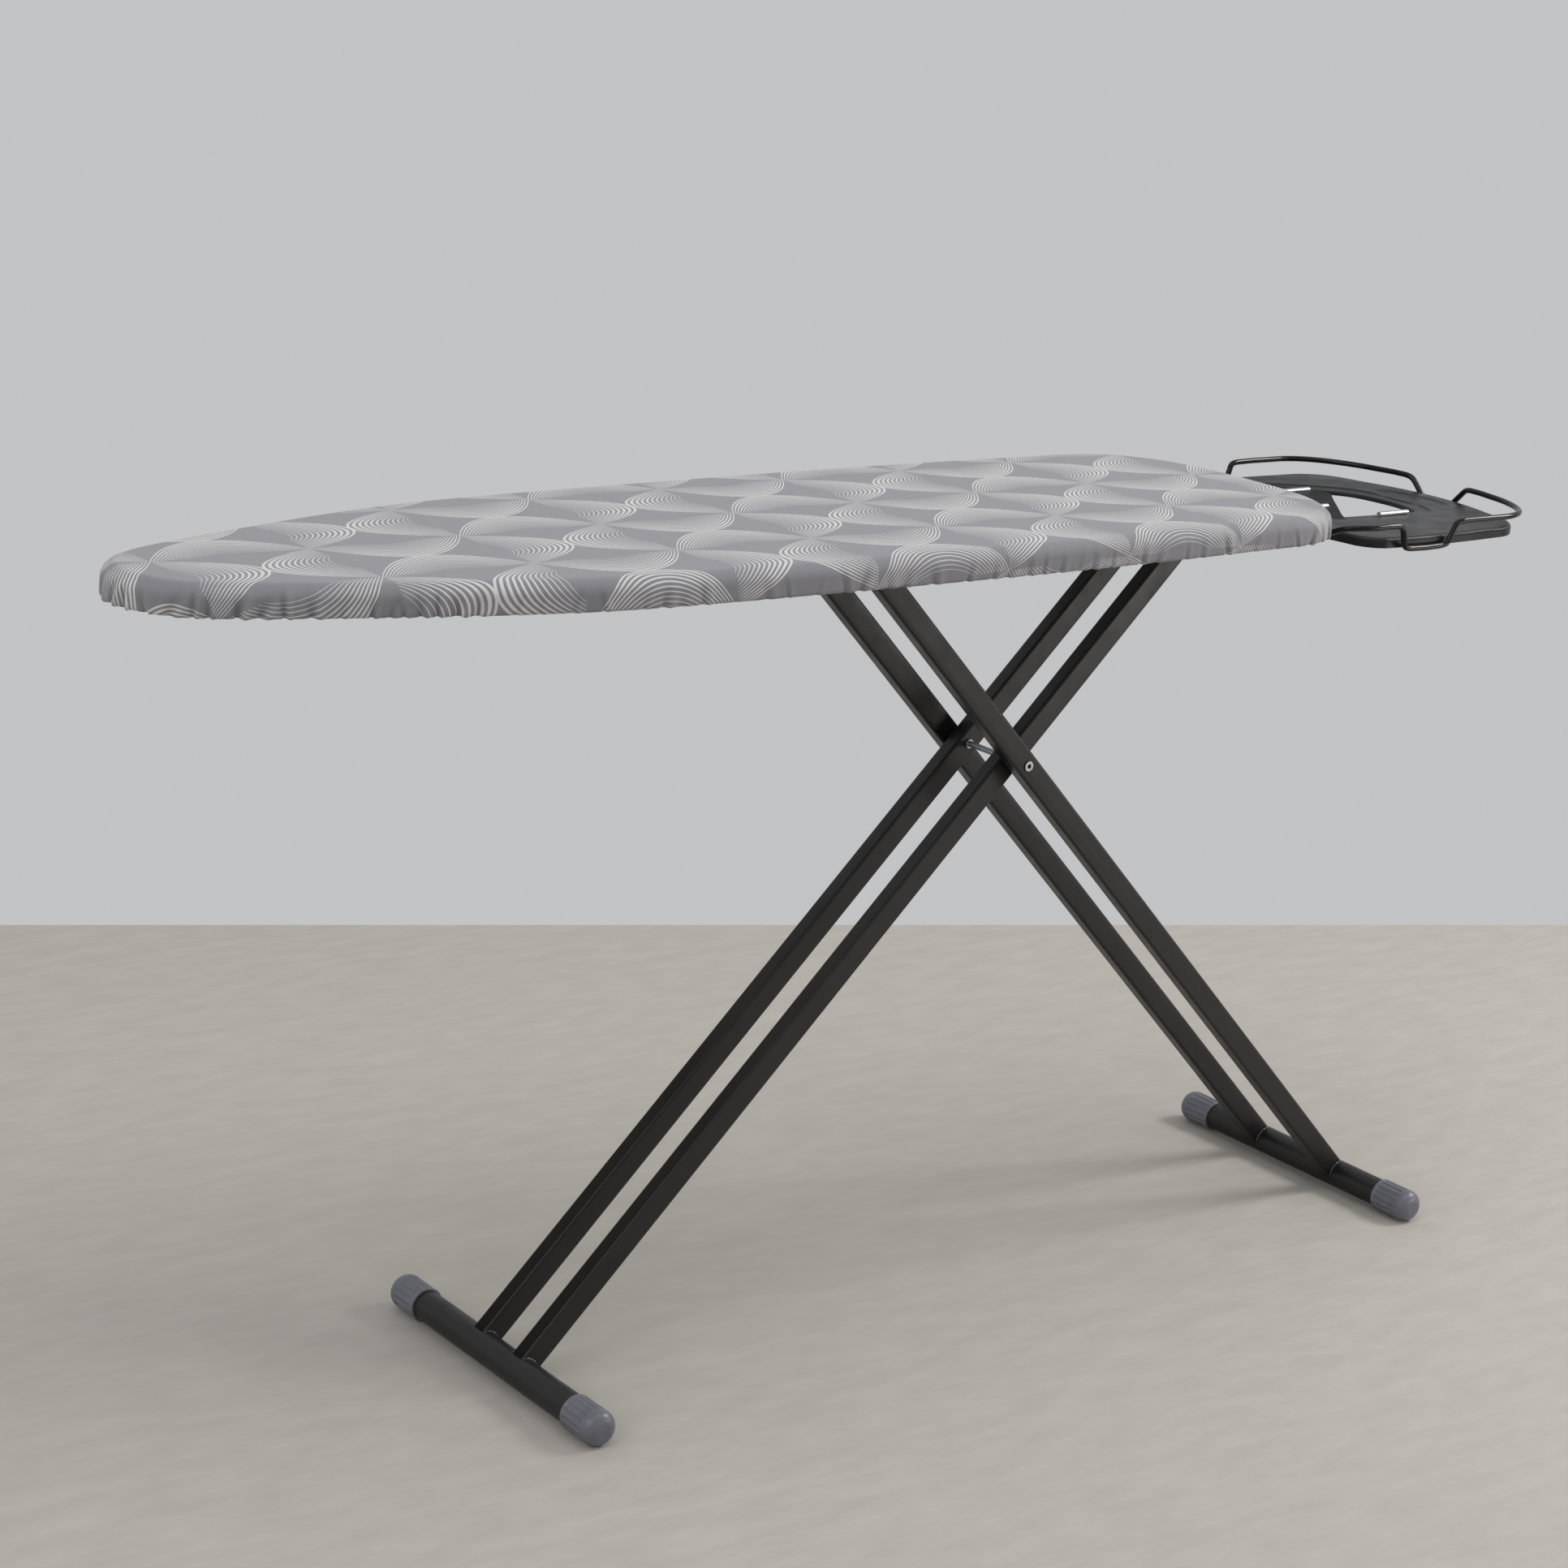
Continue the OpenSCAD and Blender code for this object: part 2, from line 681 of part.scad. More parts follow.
// Axle with flared, hollow ends.
module scissor_axle() {
    face = outer_leg_y + leg_t / 2 + side_gap;
    tip = face + rivet_head_t;
    color(zinc) difference() {
        union() {
            y_cylinder(axle_x, axle_z, axle_r, -tip, tip);
            mirror_y() y_cylinder(axle_x, axle_z, rivet_head_r, face, tip);
        }
        mirror_y() y_cylinder(axle_x, axle_z, rivet_bore_r, tip - rivet_bore_depth, tip + 1);
    }
}

module scissor_spacers() {
    color(dark_plastic) mirror_y()
        washer(axle_x, axle_z, 8, axle_r + press_gap, inner_leg_y + leg_t / 2 + 0.02,
               outer_leg_y - leg_t / 2 - side_gap);
}

module axle_collars() {
    face = inner_leg_y - leg_t / 2;
    color(zinc) mirror_y()
        washer(axle_x, axle_z, 4.6, axle_r + press_gap, face - 2, face - 0.02);
}

module slide_rod() {
    color(zinc) y_cylinder(slide_x, upper_pivot_z, pivot_rod_r, -slide_rod_half, slide_rod_half);
}

module slide_clips() {
    color(zinc) mirror_y()
        washer(slide_x, upper_pivot_z, clip_r, pivot_rod_r + press_gap,
               slide_clip_y, slide_clip_y + clip_t);
}

cover();
hem_elastic();
pad();
deck_panel();
rim_frame();
cross_brace(nose_brace_x);  // cross_brace_nose
cross_brace(middle_brace_x);  // cross_brace_middle
cross_brace(heel_brace_x);  // cross_brace_heel
mirror([0, 1, 0]) height_rack();  // height_rack_near
height_rack();  // height_rack_far
mirror([0, 1, 0]) pivot_bracket();  // pivot_bracket_near
pivot_bracket();  // pivot_bracket_far
pivot_rod();
pivot_sleeve();
pivot_washers();
pivot_clips();
lever_pin();
lever_spring();
rest_pan();
rest_bridge();
mirror([0, 1, 0]) rest_arm();  // rest_arm_near
rest_arm();  // rest_arm_far
rest_rail();
heat_rests();
rest_rivets();
inner_leg(-inner_leg_y);  // inner_leg_near
inner_leg(inner_leg_y);  // inner_leg_far
color(tube_black) foot_tube(nose_foot_x);  // nose_foot_tube
color(cap_grey) mirror([0, 1, 0]) foot_cap(nose_foot_x);  // nose_cap_near
color(cap_grey) foot_cap(nose_foot_x);  // nose_cap_far
scissor_axle();
scissor_spacers();
axle_collars();
color(dark_plastic) mirror_y()  // inner_leg_plugs
    leg_plug(inner_leg_y, inner_slope, 1, inner_upper);
outer_leg(-outer_leg_y);  // outer_leg_near
outer_leg(outer_leg_y);  // outer_leg_far
color(tube_black) foot_tube(heel_foot_x);  // heel_foot_tube
color(cap_grey) mirror([0, 1, 0]) foot_cap(heel_foot_x);  // heel_cap_near
color(cap_grey) foot_cap(heel_foot_x);  // heel_cap_far
slide_rod();
slide_clips();
color(dark_plastic) mirror_y()  // outer_leg_plugs
    leg_plug(outer_leg_y, outer_slope, -1, outer_upper);
release_lever();
lever_grip();
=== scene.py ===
"""Looks of the folding ironing board: printed cover, felt pad, iron rest, wire rail and painted legs."""

import json
import math
import random

import bmesh
import bpy
import numpy as np
from mathutils import Matrix, Vector

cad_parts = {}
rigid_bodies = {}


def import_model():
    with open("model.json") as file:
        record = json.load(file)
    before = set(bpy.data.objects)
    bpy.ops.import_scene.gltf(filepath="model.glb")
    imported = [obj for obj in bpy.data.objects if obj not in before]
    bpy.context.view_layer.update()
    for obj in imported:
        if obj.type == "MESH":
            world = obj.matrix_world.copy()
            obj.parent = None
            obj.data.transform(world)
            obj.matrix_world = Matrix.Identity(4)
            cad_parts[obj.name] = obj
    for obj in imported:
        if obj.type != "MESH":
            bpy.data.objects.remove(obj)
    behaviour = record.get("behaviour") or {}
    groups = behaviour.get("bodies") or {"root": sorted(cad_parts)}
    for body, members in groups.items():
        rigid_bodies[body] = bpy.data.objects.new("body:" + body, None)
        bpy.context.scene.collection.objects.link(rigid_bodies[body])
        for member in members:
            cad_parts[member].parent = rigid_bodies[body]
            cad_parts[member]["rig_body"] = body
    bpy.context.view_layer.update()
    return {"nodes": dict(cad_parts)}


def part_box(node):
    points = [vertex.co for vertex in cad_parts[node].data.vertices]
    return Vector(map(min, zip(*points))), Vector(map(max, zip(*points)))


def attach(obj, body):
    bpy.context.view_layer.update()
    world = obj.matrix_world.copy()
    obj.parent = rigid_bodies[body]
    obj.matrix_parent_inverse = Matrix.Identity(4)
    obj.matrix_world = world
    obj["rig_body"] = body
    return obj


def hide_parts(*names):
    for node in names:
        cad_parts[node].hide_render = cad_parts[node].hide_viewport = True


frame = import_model()
MM = 0.001
scene = bpy.context.scene

# ---------- places taken from the frame, in metres ----------

cover_lo, cover_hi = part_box("cover")
pan_lo, pan_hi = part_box("rest_pan")
pad_lo, pad_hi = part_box("pad")
axle_lo, axle_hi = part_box("scissor_axle")
axle = Vector(((axle_lo.x + axle_hi.x) / 2, 0, (axle_lo.z + axle_hi.z) / 2))
nose_x, heel_x = cover_lo.x, cover_hi.x
top_z, hem_z = cover_hi.z, cover_lo.z


# ---------- materials ----------


class Shader:
    """One procedural material, built node by node."""

    def __init__(self, name, **constants):
        self.material = bpy.data.materials.new(name)
        self.material.use_nodes = True
        self.tree = self.material.node_tree
        kinds = {n.type: n for n in self.tree.nodes}
        self.surface = kinds["BSDF_PRINCIPLED"]
        for socket, value in constants.items():
            self.surface.inputs[socket.replace("_", " ")].default_value = value

    def feed(self, socket, source):
        """Links a node or a socket to the socket, or sets it to a plain value."""
        if isinstance(source, bpy.types.Node):
            source = source.outputs[0]
        if isinstance(source, bpy.types.NodeSocket):
            self.tree.links.new(source, socket)
        else:
            socket.default_value = source

    def add(self, kind, sources=None, **settings):
        """A new node of the kind, with its inputs fed and its settings made."""
        node = self.tree.nodes.new("ShaderNode" + kind)
        for key, value in settings.items():
            setattr(node, key, value)
        for socket, source in (sources or {}).items():
            self.feed(node.inputs[socket], source)
        return node

    def math(self, operation, *sources):
        return self.add("Math", dict(enumerate(sources)), operation=operation).outputs[0]

    def place(self, scale=(1, 1, 1)):
        """Place on the object, in metres, stretched by the scale given."""
        coords = self.add("TexCoord").outputs["Object"]
        return self.add("Mapping", {"Vector": coords, "Scale": scale}).outputs[0]

    def noise(self, scale, detail=3.0, rough=0.5, stretch=(1, 1, 1)):
        sources = {"Vector": self.place(stretch), "Scale": scale, "Detail": detail, "Roughness": rough}
        return self.add("TexNoise", sources).outputs[0]

    def spread(self, value, from_lo, from_hi, to_lo, to_hi, soft=False):
        """The value moved from one range to another, clamped at both ends."""
        kind = "SMOOTHSTEP" if soft else "LINEAR"
        places = dict(enumerate((value, from_lo, from_hi, to_lo, to_hi)))
        return self.add("MapRange", places, interpolation_type=kind, clamp=True).outputs[0]

    def mix(self, factor, first, second):
        node = self.add("Mix", data_type="RGBA")
        colours = [s for s in node.inputs if s.type == "RGBA"]
        self.feed(node.inputs[0], factor)
        self.feed(colours[0], first)
        self.feed(colours[1], second)
        return next(s for s in node.outputs if s.type == "RGBA")

    def bump(self, height, distance, strength=1.0, normal=None):
        node = self.add("Bump", {"Height": height, "Distance": distance, "Strength": strength})
        if normal is not None:
            self.feed(node.inputs["Normal"], normal)
        return node.outputs[0]

    def finish(self, colour, roughness, normal):
        for socket, source in (("Base Color", colour), ("Roughness", roughness), ("Normal", normal)):
            self.feed(self.surface.inputs[socket], source)
        return self.material


def rgb(r, g, b):
    return (r, g, b, 1)


def painted(name, dark, light, rough_lo, rough_hi, grain=900, depth=0.00004, shine=0.5):
    """Paint or powder coat: fine orange peel, slow changes of tone and wear of the gloss."""
    s = Shader(name, Specular_IOR_Level=shine)
    tone = s.spread(s.noise(14, 4), 0.35, 0.65, 0, 1)
    dust = s.spread(s.noise(2600, 1), 0.72, 0.8, 0, 0.35)
    colour = s.mix(dust, s.mix(tone, dark, light), rgb(0.07, 0.07, 0.072))
    rough = s.spread(s.noise(40, 4), 0.3, 0.7, rough_lo, rough_hi)
    return s.finish(colour, rough, s.bump(s.noise(grain, 2), depth))


def plated(name, colour, rough_lo, rough_hi, stretch=(1, 1, 1)):
    """Zinc or bare steel: metallic, with spangle and fine drawn lines."""
    s = Shader(name, Metallic=1.0)
    dull = tuple(c * 0.78 for c in colour[:3]) + (1,)
    tone = s.mix(s.spread(s.noise(120, 3), 0.35, 0.65, 0, 1), dull, colour)
    rough = s.spread(s.noise(300, 3, stretch=stretch), 0.3, 0.7, rough_lo, rough_hi)
    return s.finish(tone, rough, s.bump(s.noise(700, 2, stretch=stretch), 0.00003))


def plastic(name, dark, light, rough_lo, rough_hi, depth=0.00004):
    """Moulded plastic: fine satin texture, with scuffs that are duller."""
    s = Shader(name, Specular_IOR_Level=0.45)
    tone = s.mix(s.spread(s.noise(60, 4), 0.35, 0.65, 0, 1), dark, light)
    scuff = s.spread(s.noise(90, 5, 0.7), 0.5, 0.75, 0, 1)
    rough = s.spread(scuff, 0, 1, rough_lo, rough_hi)
    return s.finish(tone, rough, s.bump(s.noise(1900, 2), depth))


def printed_cloth():
    """Cotton with a print of nested wave lines, laid out on the cloth's flat, unwrapped place."""
    cell_x_size, cell_y_size = 145.5 * MM, 113 * MM
    corner_x, corner_y = -146.5 * MM, 28 * MM
    line_count, crowding = 11, 1.08
    depth_loss, width_loss = 0.85, 0.8
    thread_waves = 9000

    s = Shader("cover_cloth", Sheen_Weight=0.25, Sheen_Roughness=0.5, Specular_IOR_Level=0.2)
    flat = s.add("SeparateXYZ", {0: s.add("UVMap", uv_map="unwrapped").outputs[0]})
    turn = math.radians(-1)
    x = s.math("ADD", s.math("MULTIPLY", flat.outputs[0], math.cos(turn)),
               s.math("MULTIPLY", flat.outputs[1], -math.sin(turn)))
    y = s.math("ADD", s.math("MULTIPLY", flat.outputs[0], math.sin(turn)),
               s.math("MULTIPLY", flat.outputs[1], math.cos(turn)))
    cell_x = s.math("DIVIDE", s.math("SUBTRACT", x, corner_x), cell_x_size)
    cell_y = s.math("DIVIDE", s.math("SUBTRACT", y, corner_y), cell_y_size)
    a, b = s.math("FRACT", cell_x), s.math("FRACT", cell_y)
    cell_sum = s.math("ADD", s.math("FLOOR", cell_x), s.math("FLOOR", cell_y))
    odd = s.math("FLOORED_MODULO", cell_sum, 2)
    # Every second cell has its two directions swapped.
    gap = s.math("SUBTRACT", b, a)
    along = s.math("MULTIPLY_ADD", gap, odd, a)
    across = s.math("SUBTRACT", b, s.math("MULTIPLY", gap, odd))
    # Nested parabolas u = d (1 - v^2 / w^2) over the cell: both the depth d and the squared half width
    # w^2 shrink evenly with the line's place q, so q is the smaller root of a quadratic.
    v = s.math("MULTIPLY_ADD", along, 2, -1)
    u = s.math("SUBTRACT", 1, s.math("ABSOLUTE", s.math("MULTIPLY_ADD", across, 2, -1)))
    arch = s.math("SUBTRACT", 1, s.math("MULTIPLY", v, v))
    rest = s.math("SUBTRACT", arch, u)
    past_line = s.math("MULTIPLY", s.math("SUBTRACT", 1, u), width_loss)
    linear = s.math("MULTIPLY_ADD", arch, depth_loss, past_line)
    square = s.math("MULTIPLY", linear, linear)
    under_root = s.math("MULTIPLY_ADD", rest, -4 * depth_loss * width_loss, square)
    root = s.math("SQRT", s.math("MAXIMUM", under_root, 0))
    q = s.math("DIVIDE", s.math("SUBTRACT", linear, root), 2 * depth_loss * width_loss)
    number = s.math("MULTIPLY", s.math("POWER", s.math("MAXIMUM", q, 0), crowding), line_count)
    off = s.math("ABSOLUTE", s.math("SUBTRACT", s.math("FRACT", s.math("ADD", number, 0.5)), 0.5))
    half = s.math("MULTIPLY", s.spread(number, 0, line_count, 0.29, 0.06), s.spread(arch, 0, 0.8, 0.4, 1))
    line = s.spread(s.math("SUBTRACT", off, half), -0.03, 0.03, 1, 0, soft=True)
    counted = s.math("LESS_THAN", number, line_count + 0.3)
    inside = s.math("GREATER_THAN", rest, -0.01)
    ink = s.math("MULTIPLY", line, s.math("MULTIPLY", counted, inside))

    yarn = s.spread(s.noise(1500, 2), 0.3, 0.7, 0, 1)
    ground = s.mix(yarn, rgb(0.19, 0.188, 0.204), rgb(0.222, 0.22, 0.238))
    white = s.mix(yarn, rgb(0.52, 0.515, 0.5), rgb(0.59, 0.585, 0.57))
    warp = s.math("SINE", s.math("MULTIPLY", flat.outputs[0], thread_waves))
    weft = s.math("SINE", s.math("MULTIPLY", flat.outputs[1], thread_waves))
    weave = s.math("MULTIPLY", warp, weft)
    soft_fold = s.bump(s.noise(34, 3), 0.0009, 0.5)
    slub = s.bump(s.noise(420, 3), 0.00009, 0.6, soft_fold)
    rough = s.spread(yarn, 0, 1, 0.8, 0.92)
    fold = s.add("SeparateXYZ", {0: s.add("UVMap", uv_map="crease").outputs[0]}).outputs[0]
    # Painted shade: the crease layer darkens the cloth towards near-black in the valleys of the folds.
    shaded = s.mix(s.spread(fold, 0, 0.9, 0, 0.72), s.mix(ink, ground, white), rgb(0.05, 0.048, 0.05))
    # Painted highlight: the crease layer lightens the cloth on the ridges beside the folds.
    painted_ridge_light = s.mix(s.spread(fold, -0.4, 0, 0.16, 0), shaded, rgb(0.7, 0.69, 0.68))
    return s.finish(painted_ridge_light, rough, s.bump(weave, 0.00005, 0.5, slub))


def ribbed_elastic():
    """Woven elastic: fine threads, and ribs across the cord at an even pitch along it."""
    rib_pitch = 4.7 * MM
    s = Shader("elastic")
    along = s.add("SeparateXYZ", {0: s.add("UVMap", uv_map="unwrapped").outputs[0]}).outputs[0]
    ribs = s.math("SINE", s.math("MULTIPLY", along, 2 * math.pi / rib_pitch))
    threads = s.add("TexWave", {"Vector": s.place(), "Scale": 260.0, "Distortion": 1.2}).outputs[1]
    tone = s.mix(threads, rgb(0.5, 0.5, 0.49), rgb(0.74, 0.73, 0.71))
    return s.finish(tone, s.spread(threads, 0, 1, 0.7, 0.9), s.bump(s.math("ADD", threads, ribs), 0.0002))


def felt():
    """Needled felt: short fibres that lie along the board, and darker flecks."""
    s = Shader("felt", Sheen_Weight=0.4, Specular_IOR_Level=0.15)
    fibres = s.spread(s.noise(700, 6, 0.75, (1, 2.5, 1)), 0.35, 0.65, 0, 1)
    flecks = s.spread(s.noise(260, 2), 0.66, 0.72, 0, 0.5)
    colour = s.mix(fibres, rgb(0.5, 0.48, 0.42), rgb(0.72, 0.7, 0.63))
    colour = s.mix(flecks, colour, rgb(0.3, 0.29, 0.28))
    return s.finish(colour, s.spread(fibres, 0, 1, 0.85, 0.97), s.bump(fibres, 0.0005))


leg_paint = painted("leg_paint", rgb(0.0065, 0.006, 0.006), rgb(0.011, 0.0098, 0.0095), 0.34, 0.46, shine=0.4)
# Darker copy of the leg paint for the foot tubes down by the floor: painted shade.
leg_paint_shaded = painted("leg_paint_shaded", rgb(0.006, 0.006, 0.006), rgb(0.0095, 0.0092, 0.0092), 0.36, 0.48,
                     shine=0.4)
black_steel = painted("black_steel", rgb(0.007, 0.007, 0.0075), rgb(0.012, 0.012, 0.013), 0.35, 0.5,
                      shine=0.4)
pan_enamel = painted("pan_enamel", rgb(0.011, 0.0115, 0.0125), rgb(0.018, 0.0185, 0.02), 0.3, 0.42,
                     grain=600, depth=0.00003, shine=0.2)
rail_gloss = painted("rail_gloss", rgb(0.004, 0.004, 0.0045), rgb(0.007, 0.007, 0.0075), 0.12, 0.2,
                     grain=500, depth=0.00002, shine=0.25)
weld_gloss = painted("weld_gloss", rgb(0.004, 0.004, 0.005), rgb(0.008, 0.008, 0.0095), 0.08, 0.18,
                     grain=420, depth=0.0001, shine=0.7)
# Darker, duller copy of the pan enamel for the bridge plate low under the rest: painted shade.
pan_enamel_shaded = painted("pan_enamel_shaded", rgb(0.005, 0.005, 0.005), rgb(0.008, 0.008, 0.008), 0.5, 0.62,
                       shine=0.12)
zinc = plated("zinc", rgb(0.46, 0.47, 0.49), 0.34, 0.5)
deck_steel = plated("deck_steel", rgb(0.52, 0.53, 0.55), 0.35, 0.5, (1, 8, 1))
cap_plastic = plastic("cap_plastic", rgb(0.118, 0.121, 0.142), rgb(0.14, 0.143, 0.166), 0.34, 0.5)
dark_plastic = plastic("dark_plastic", rgb(0.014, 0.014, 0.016), rgb(0.022, 0.022, 0.024), 0.35, 0.5)
cover_cloth = printed_cloth()
elastic_cord = ribbed_elastic()
pad_felt = felt()


# ---------- mesh helpers ----------


def piece(name, verts, faces, material, body, uv=None, edge_angle=None):
    """Makes one piece from its points and faces, and lets it ride on a body.

    uv gives each named layer one place per point. edge_angle, in degrees, is where edges stay sharp.
    """
    mesh = bpy.data.meshes.new(name)
    mesh.from_pydata([tuple(v) for v in verts], [], faces)
    for layer_name, places in (uv or {}).items():
        layer = mesh.uv_layers.new(name=layer_name)
        corner = np.zeros(len(mesh.loops), np.int32)
        mesh.loops.foreach_get("vertex_index", corner)
        layer.data.foreach_set("uv", np.asarray(places, np.float32)[corner].ravel())
    mesh.validate()
    obj = bpy.data.objects.new(name, mesh)
    scene.collection.objects.link(obj)
    mesh.materials.append(material)
    work = bmesh.new()
    work.from_mesh(mesh)
    bmesh.ops.remove_doubles(work, verts=work.verts, dist=0.02 * MM)
    bmesh.ops.recalc_face_normals(work, faces=work.faces)
    work.to_mesh(mesh)
    work.free()
    mesh.shade_smooth()
    if edge_angle:
        mesh.set_sharp_from_angle(angle=math.radians(edge_angle))
    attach(obj, body)
    return obj


def ring_faces(rings, around, closed=False):
    """Faces between rings of points that each have the same number of points."""
    last = rings if closed else rings - 1
    faces = []
    for i in range(last):
        here, there = i * around, ((i + 1) % rings) * around
        for k in range(around):
            m = (k + 1) % around
            faces.append((here + k, here + m, there + m, there + k))
    return faces


def closed_curve(points, count):
    """Evenly spaced points on a smooth closed curve through the points."""
    step = np.linalg.norm(np.roll(points, -1, 0) - points, axis=1)
    before = np.roll(step, 1)
    slope_in = (points - np.roll(points, 1, 0)) / before[:, None]
    slope_out = (np.roll(points, -1, 0) - points) / step[:, None]
    tangent = (slope_in * step[:, None] + slope_out * before[:, None]) / (step + before)[:, None]
    t = np.linspace(0, 1, 16, endpoint=False)[:, None]
    fine = []
    for i, p in enumerate(points):
        j = (i + 1) % len(points)
        fine.append(p * (2 * t**3 - 3 * t**2 + 1) + points[j] * (3 * t**2 - 2 * t**3)
                    + tangent[i] * step[i] * (t**3 - 2 * t**2 + t)
                    + tangent[j] * step[i] * (t**3 - t**2))
    fine = np.vstack(fine + [points[:1]])
    run = np.concatenate([[0], np.cumsum(np.linalg.norm(np.diff(fine, axis=0), axis=1))])
    at = np.linspace(0, run[-1], count, endpoint=False)
    return np.column_stack([np.interp(at, run, fine[:, k]) for k in (0, 1)])


def outward(points):
    """Unit vectors pointing out of a counter-clockwise closed curve."""
    run = np.roll(points, -1, 0) - np.roll(points, 1, 0)
    run /= np.linalg.norm(run, axis=1)[:, None]
    return np.column_stack([run[:, 1], -run[:, 0]])


def face_points(node, level):
    """Plan points of a node's flat face at that height."""
    co = np.array([v.co for v in frame["nodes"][node].data.vertices])
    return np.unique(np.round(co[np.abs(co[:, 2] - level) < 0.02 * MM][:, :2], 5), axis=0)


def round_middle(points, middle):
    """The points in counter-clockwise order round a middle, from the -X side."""
    angle = np.arctan2(-(points[:, 1] - middle[1]), -(points[:, 0] - middle[0]))
    return points[np.argsort(np.where(angle < -1e-4, angle + 2 * math.pi, angle))]


def smooth_closed(points, spread):
    """Evens out a closed curve over about the length given."""
    count = len(points)
    length = np.linalg.norm(np.roll(points, -1, 0) - points, axis=1).sum()
    wave = np.fft.rfftfreq(count, 1 / count) * 2 * math.pi / length
    keep = np.exp(-((wave * spread) ** 2) / 2)[:, None]
    return np.fft.irfft(np.fft.rfft(points, axis=0) * keep, count, axis=0)


def arc_points(centre, radius, start, end, steps):
    """Points on an arc between two angles in degrees."""
    angles = np.radians(np.linspace(start, end, steps))
    return [(centre[0] + radius * math.cos(a), centre[1] + radius * math.sin(a)) for a in angles]


def tube(path, radius, sides, closed=False, flatten=1.0):
    """Points and faces of a round or flattened tube swept along a path."""
    path = np.asarray(path, float)
    if closed:
        run = np.roll(path, -1, 0) - np.roll(path, 1, 0)
    else:
        run = np.gradient(path, axis=0)
    run /= np.linalg.norm(run, axis=1)[:, None]
    side = np.cross(run, (0, 0, 1))
    side /= np.linalg.norm(side, axis=1)[:, None]
    up = np.cross(side, run)
    angles = np.arange(sides) * 2 * math.pi / sides
    radius = np.broadcast_to(radius, len(path))
    verts = (path[:, None] + radius[:, None, None]
             * (np.cos(angles)[None, :, None] * side[:, None]
                + flatten * np.sin(angles)[None, :, None] * up[:, None]))
    faces = ring_faces(len(path), sides, closed)
    verts = verts.reshape(-1, 3)
    if not closed:
        first, last = len(verts), len(verts) + 1
        start_tip = path[:1] - run[:1] * radius[0] * 0.5
        end_tip = path[-1:] + run[-1:] * radius[-1] * 0.5
        verts = np.vstack([verts, start_tip, end_tip])
        start = (len(path) - 1) * sides
        faces += [(first, (k + 1) % sides, k) for k in range(sides)]
        faces += [(last, start + k, start + (k + 1) % sides) for k in range(sides)]
    return verts, faces


# ---------- board: cover, elastic and pad ----------

SHOULDER = 12 * MM  # radius of the cover's rounded top edge
TUCK = 3 * MM  # radius of the turn into the hem
LIP = 15 * MM  # how far the hem reaches in under the board
CLOTH = 0.8 * MM
SKIRT_TOP = 4 * MM  # depth below the top where the gathers begin
AROUND = 1600  # points round the edge
TOP_ROWS = 30
PAD_ROWS = 12
ELASTIC_SIDES = 10

face = face_points("cover", top_z)
edge = closed_curve(round_middle(face, face.mean(0)), AROUND)
edge = smooth_closed(edge, 3 * MM)
edge_out = outward(edge)
edge_step = np.linalg.norm(np.roll(edge, -1, 0) - edge, axis=1)
edge_run = np.concatenate([[0], np.cumsum(edge_step)[:-1]])
edge_length = edge_step.sum()


def smooth_step(value, low, high):
    """0 below low and 1 above high, with a smooth rise between them."""
    t = np.clip((value - low) / (high - low), 0, 1)
    return t * t * (3 - 2 * t)


def near_end(x, end, reach):
    """1 at an end of the board, fading to 0 at the reach along it."""
    return smooth_step(1 - np.abs(x - end) / reach, 0, 1)


def fold_rows(heights):
    """Outward push of the gathered skirt, and how deep in a crease it is.

    Both hold one row of values round the edge for each height, which runs from 0 at the shoulder to 1.
    """
    dice = random.Random(11)
    belly, flare, crease_depth = 1.5 * MM, 1.3 * MM, 3.0 * MM
    gather = 0.4 + 0.9 * near_end(edge[:, 0], nose_x, 0.36) + 0.6 * near_end(edge[:, 0], heel_x, 0.24)
    creases = [np.zeros(AROUND) for _ in heights]
    rows = [gather * (belly * math.sin(math.pi * min(h, 0.999) ** 0.85) ** 0.7 + flare * h) for h in heights]
    at = 0.0
    while at < edge_length:
        here = int(at / edge_length * AROUND) % AROUND
        strength = gather[here] * dice.uniform(0.35, 1.25)
        width = dice.uniform(1.6, 3.6) * MM
        lean = dice.uniform(-9, 9) * MM
        reach = dice.uniform(0.55, 1.5)
        for row, deep, h in zip(rows, creases, heights):
            away = (edge_run - at - lean * (1 - h) + edge_length / 2) % edge_length - edge_length / 2
            wide = width * (1.6 - 0.6 * h)
            valley = np.exp(-((away / wide) ** 2))
            ridge = np.exp(-(((away - 1.9 * wide) / wide) ** 2))
            row -= crease_depth * strength * h**reach * (valley - 0.75 * ridge)
            deep += strength * h**reach * (valley - 0.35 * ridge)
        at += dice.uniform(11, 30) * MM / (0.45 + 0.75 * min(gather[here], 1))
    return [np.maximum(row, -0.6 * MM) for row in rows], [np.clip(deep, -0.5, 1) for deep in creases]


def cover_section():
    """Places out from the edge and heights, from the hem's inner lip up over the shoulder."""
    skirt = top_z - SHOULDER - hem_z - TUCK
    places = [(-LIP + k * (LIP - TUCK) / 5, hem_z + 0.3 * MM) for k in range(5)]
    places += arc_points((-TUCK, hem_z + TUCK), TUCK, -90, 0, 6)
    places += [(0, hem_z + TUCK + k * skirt / 9) for k in range(1, 9)]
    places += arc_points((-SHOULDER, top_z - SHOULDER), SHOULDER, 0, 90, 10)
    return places


def weld_spine(mesh):
    """Joins the two sides of the cloth's top where they meet on the middle line."""
    work = bmesh.new()
    work.from_mesh(mesh)
    on_spine = [v for v in work.verts if abs(v.co.y) < 1e-6 and v.co.z > top_z - 1e-5]
    bmesh.ops.remove_doubles(work, verts=on_spine, dist=0.3 * MM)
    work.to_mesh(mesh)
    work.free()


